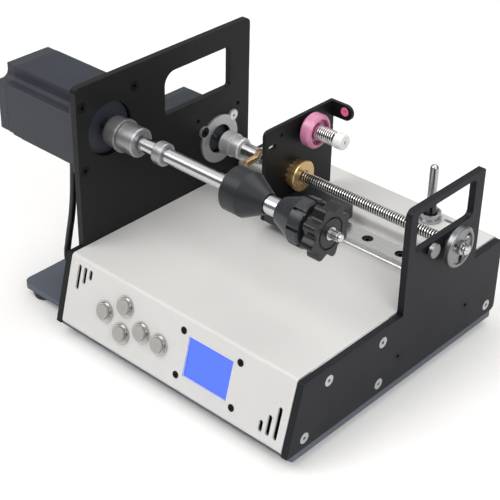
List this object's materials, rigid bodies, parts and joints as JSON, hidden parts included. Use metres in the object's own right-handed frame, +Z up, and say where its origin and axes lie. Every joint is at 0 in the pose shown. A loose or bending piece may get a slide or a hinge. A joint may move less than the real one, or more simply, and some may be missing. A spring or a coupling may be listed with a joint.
{
  "type": "fishing line spooling machine",
  "caption": "Bench machine with a motor spindle, clamping cones, lead-screw traverse carriage, supply post and sloped control panel for winding line onto reel spools.",
  "frame": {"origin": "centre of the bounding box in plan, at the feet's lowest plane", "axes": "+X along the spindle from its motor to the star knob, +Y to the back, +Z up"},
  "size_m": [0.307, 0.2293, 0.1835],
  "materials": {
    "black_sheet": "fine-textured black powder coat",
    "dark_sheet": "dark grey powder coat",
    "grey_base": "grey powder coat",
    "pale_cover": "warm white powder coat",
    "bright_steel": "turned and brushed",
    "black_steel": "black oxide",
    "motor_case": "satin dark grey",
    "motor_cap": "satin grey casting",
    "aluminium": "turned",
    "brass": "turned",
    "black_plastic": "fine-grained black plastic",
    "grey_plastic": "light grey plastic",
    "white_plastic": "white plastic",
    "pink_ceramic": "glossy pink",
    "pink_eyelet": "glossy deep pink",
    "rubber": "matte black",
    "cable": "smooth black jacket",
    "board": "green solder mask",
    "screen": "blue backlit window",
    "spring_steel": "bright spring wire"
  },
  "bodies": {
    "frame": {"base_plate": "grey_base", "rubber_feet": "rubber", "base_screws": "bright_steel", "left_plate": "black_sheet", "right_plate": "dark_sheet", "cover": "pale_cover", "tie_bars": "aluminium", "plate_screws": "bright_steel", "black_screws": "black_steel", "spindle_motor_body": "motor_case", "spindle_motor_end_cap": "motor_cap", "spindle_motor_bearing": "bright_steel", "traverse_motor_body": "motor_case", "traverse_motor_end_cap": "motor_cap", "adapter_ring": "aluminium", "motor_leads": "cable", "lead_grommets": "rubber", "rail": "bright_steel", "rail_screws": "black_steel", "screw_bushing": "bright_steel", "display_board": "board", "display_glass": "screen", "display_screws": "black_steel", "button_bushings": "bright_steel", "control_board": "board", "motor_drivers": "aluminium", "power_inlet": "black_plastic", "switch_housing": "black_plastic", "post_base": "bright_steel"},
    "spindle": {"spindle_motor_shaft": "black_steel", "spindle_coupling": "aluminium", "spindle_shaft": "bright_steel", "set_collar": "bright_steel", "drive_cone": "black_plastic"},
    "tail": {"tail_cone": "black_plastic"},
    "knob": {"star_knob": "black_plastic", "knob_insert": "bright_steel"},
    "screw": {"traverse_motor_shaft": "bright_steel", "traverse_coupling": "aluminium", "lead_screw": "bright_steel", "drive_key": "brass", "handwheel": "bright_steel"},
    "carriage": {"saddle": "black_plastic", "slider_block": "bright_steel", "carriage_plate": "black_sheet", "traverse_nut": "brass", "guide_eyelet": "pink_eyelet", "tension_stud": "bright_steel", "tension_spring": "spring_steel"},
    "tension_disc_body": {"tension_disc": "pink_ceramic"},
    "tension_knob_body": {"tension_knob": "white_plastic"},
    "spool_post_body": {"spool_post": "bright_steel"},
    "thumb_screw_body": {"thumb_screw": "bright_steel"},
    "left_button_body": {"left_button": "grey_plastic"},
    "right_button_body": {"right_button": "grey_plastic"},
    "up_button_body": {"up_button": "grey_plastic"},
    "down_button_body": {"down_button": "grey_plastic"},
    "start_button_body": {"start_button": "grey_plastic"},
    "power_rocker_body": {"power_rocker": "black_plastic"}
  },
  "joints": [
    {"name": "spindle_spin", "type": "hinge", "parent": "frame", "child": "spindle", "pos_m": [-0.0705, -0.06095, 0.1448], "axis": [1, 0, 0], "continuous": true},
    {"name": "tail_slide", "type": "slide", "parent": "spindle", "child": "tail", "axis": [1, 0, 0], "range_m": [-0.007, 0.006]},
    {"name": "knob_turn", "type": "hinge", "parent": "tail", "child": "knob", "pos_m": [0.1305, -0.06095, 0.1448], "axis": [1, 0, 0], "range_deg": [-2530, 2170]},
    {"name": "screw_turn", "type": "hinge", "parent": "frame", "child": "screw", "pos_m": [-0.0705, 0.04505, 0.0975], "axis": [1, 0, 0], "range_deg": [-15130, 4330]},
    {"name": "carriage_slide", "type": "slide", "parent": "frame", "child": "carriage", "axis": [1, 0, 0], "range_m": [-0.024, 0.084]},
    {"name": "disc_spin", "type": "hinge", "parent": "carriage", "child": "tension_disc_body", "pos_m": [0.0045, 0.05655, 0.1295], "axis": [1, 0, 0], "continuous": true},
    {"name": "tension_turn", "type": "hinge", "parent": "carriage", "child": "tension_knob_body", "pos_m": [0.0045, 0.05655, 0.1295], "axis": [1, 0, 0], "continuous": true},
    {"name": "post_spin", "type": "hinge", "parent": "frame", "child": "spool_post_body", "pos_m": [0.0871, 0.09755, 0.071], "axis": [0, 0, 1], "continuous": true},
    {"name": "thumb_turn", "type": "hinge", "parent": "frame", "child": "thumb_screw_body", "pos_m": [0.1345, 0.02105, 0.104], "axis": [1, 0, 0], "continuous": true},
    {"name": "rocker_tilt", "type": "hinge", "parent": "frame", "child": "power_rocker_body", "pos_m": [-0.0005, 0.10805, 0.0415], "axis": [1, 0, 0], "range_deg": [-9, 9]},
    {"name": "left_press", "type": "slide", "parent": "frame", "child": "left_button_body", "axis": [0, 0.9658, -0.2593], "range_m": [0, 0.0015], "stiffness_N_per_m": 400},
    {"name": "right_press", "type": "slide", "parent": "frame", "child": "right_button_body", "axis": [0, 0.9658, -0.2593], "range_m": [0, 0.0015], "stiffness_N_per_m": 400},
    {"name": "up_press", "type": "slide", "parent": "frame", "child": "up_button_body", "axis": [0, 0.9658, -0.2593], "range_m": [0, 0.0015], "stiffness_N_per_m": 400},
    {"name": "down_press", "type": "slide", "parent": "frame", "child": "down_button_body", "axis": [0, 0.9658, -0.2593], "range_m": [0, 0.0015], "stiffness_N_per_m": 400},
    {"name": "start_press", "type": "slide", "parent": "frame", "child": "start_button_body", "axis": [0, 0.9658, -0.2593], "range_m": [0, 0.0015], "stiffness_N_per_m": 400}
  ],
  "couplings": [
    {"joint": "screw_turn", "follows": "carriage_slide", "rad_per_m": -3141.6},
    {"joint": "knob_turn", "follows": "tail_slide", "rad_per_m": 6283.2}
  ]
}
